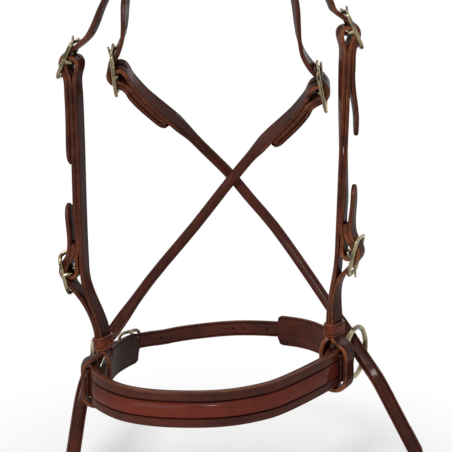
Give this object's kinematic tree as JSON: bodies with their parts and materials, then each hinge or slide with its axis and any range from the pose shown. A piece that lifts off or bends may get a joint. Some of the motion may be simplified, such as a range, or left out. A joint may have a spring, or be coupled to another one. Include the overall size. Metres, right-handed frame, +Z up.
{
  "type": "bitless bridle",
  "caption": "Brown leather bitless bridle with crossed rolled jaw straps, a raised noseband, side rings and steel buckles, hung as worn.",
  "frame": {"origin": "middle of the flat underside of the crownpiece, where it rests on the poll", "axes": "+Z up, -Y towards the front of the noseband, +X to the right as seen from the front"},
  "size_m": [0.3341, 0.2095, 0.5217],
  "materials": {
    "bridle_leather": "waxed",
    "keeper_leather": "waxed",
    "stainless_steel": "polished"
  },
  "bodies": {
    "bridle": {"chin_buckle": "stainless_steel", "chin_buckle_strap": "bridle_leather", "chin_strap": "bridle_leather", "crownpiece": "bridle_leather", "left_cheekpiece": "bridle_leather", "left_cross_buckle": "stainless_steel", "left_cross_strap": "bridle_leather", "left_keeper": "keeper_leather", "left_low_buckle": "stainless_steel", "left_ring_chape": "bridle_leather", "left_ring_guard": "bridle_leather", "left_top_buckle": "stainless_steel", "noseband_backing": "bridle_leather", "noseband_cover": "bridle_leather", "right_cheekpiece": "bridle_leather", "right_cross_buckle": "stainless_steel", "right_cross_strap": "bridle_leather", "right_keeper": "keeper_leather", "right_low_buckle": "stainless_steel", "right_ring_chape": "bridle_leather", "right_ring_guard": "bridle_leather", "right_top_buckle": "stainless_steel"},
    "left_top_tongue": {"left_top_tongue": "stainless_steel"},
    "left_low_tongue": {"left_low_tongue": "stainless_steel"},
    "right_top_tongue": {"right_top_tongue": "stainless_steel"},
    "right_low_tongue": {"right_low_tongue": "stainless_steel"},
    "left_cross_tongue": {"left_cross_tongue": "stainless_steel"},
    "right_cross_tongue": {"right_cross_tongue": "stainless_steel"},
    "chin_tongue": {"chin_tongue": "stainless_steel"},
    "left_noseband_ring": {"left_noseband_ring": "stainless_steel"},
    "right_noseband_ring": {"right_noseband_ring": "stainless_steel"},
    "left_rein_ring": {"left_rein_ring": "stainless_steel"},
    "right_rein_ring": {"right_rein_ring": "stainless_steel"}
  },
  "joints": [
    {"name": "left_top_tongue_hinge", "type": "hinge", "parent": "bridle", "child": "left_top_tongue", "pos_m": [-0.115, -0.012, -0.146], "axis": [-0.3085, -0.9511, -0.0129], "range_deg": [0, 6]},
    {"name": "left_low_tongue_hinge", "type": "hinge", "parent": "bridle", "child": "left_low_tongue", "pos_m": [-0.11905, -0.00908, -0.3224], "axis": [0.295, 0.9554, 0.0114], "range_deg": [0, 6]},
    {"name": "right_top_tongue_hinge", "type": "hinge", "parent": "bridle", "child": "right_top_tongue", "pos_m": [0.103, -0.012, -0.122], "axis": [-0.2078, 0.9782, 0.0055], "range_deg": [0, 6]},
    {"name": "right_low_tongue_hinge", "type": "hinge", "parent": "bridle", "child": "right_low_tongue", "pos_m": [0.10939, -0.01542, -0.30525], "axis": [-0.3441, -0.9389, 0.0084], "range_deg": [0, 6]},
    {"name": "left_cross_tongue_hinge", "type": "hinge", "parent": "bridle", "child": "left_cross_tongue", "pos_m": [-0.081, 0.018, -0.159], "axis": [-0.0434, -0.9338, -0.3551], "range_deg": [0, 6]},
    {"name": "right_cross_tongue_hinge", "type": "hinge", "parent": "bridle", "child": "right_cross_tongue", "pos_m": [0.083, 0.018, -0.173], "axis": [0.031, 0.9541, 0.2979], "range_deg": [0, 6]},
    {"name": "chin_tongue_hinge", "type": "hinge", "parent": "bridle", "child": "chin_tongue", "pos_m": [-0.07303, 0.06196, -0.40954], "axis": [-0.0324, -0.034, 0.9989], "range_deg": [0, 6]},
    {"name": "left_noseband_ring_hinge", "type": "hinge", "parent": "bridle", "child": "left_noseband_ring", "pos_m": [-0.10192, -0.01232, -0.41145], "axis": [0, 0, 1], "range_deg": [0, 10]},
    {"name": "right_noseband_ring_hinge", "type": "hinge", "parent": "bridle", "child": "right_noseband_ring", "pos_m": [0.10608, -0.014, -0.39727], "axis": [0, 0, 1], "range_deg": [-20, 5]},
    {"name": "left_rein_ring_hinge", "type": "hinge", "parent": "bridle", "child": "left_rein_ring", "pos_m": [0.17443, -0.0273, -0.49103], "axis": [0.8849, -0.0132, 0.4656], "range_deg": [-60, 60]},
    {"name": "right_rein_ring_hinge", "type": "hinge", "parent": "bridle", "child": "right_rein_ring", "pos_m": [-0.12343, -0.03269, -0.492], "axis": [-0.9831, -0.0615, 0.1726], "range_deg": [-60, 60]}
  ]
}
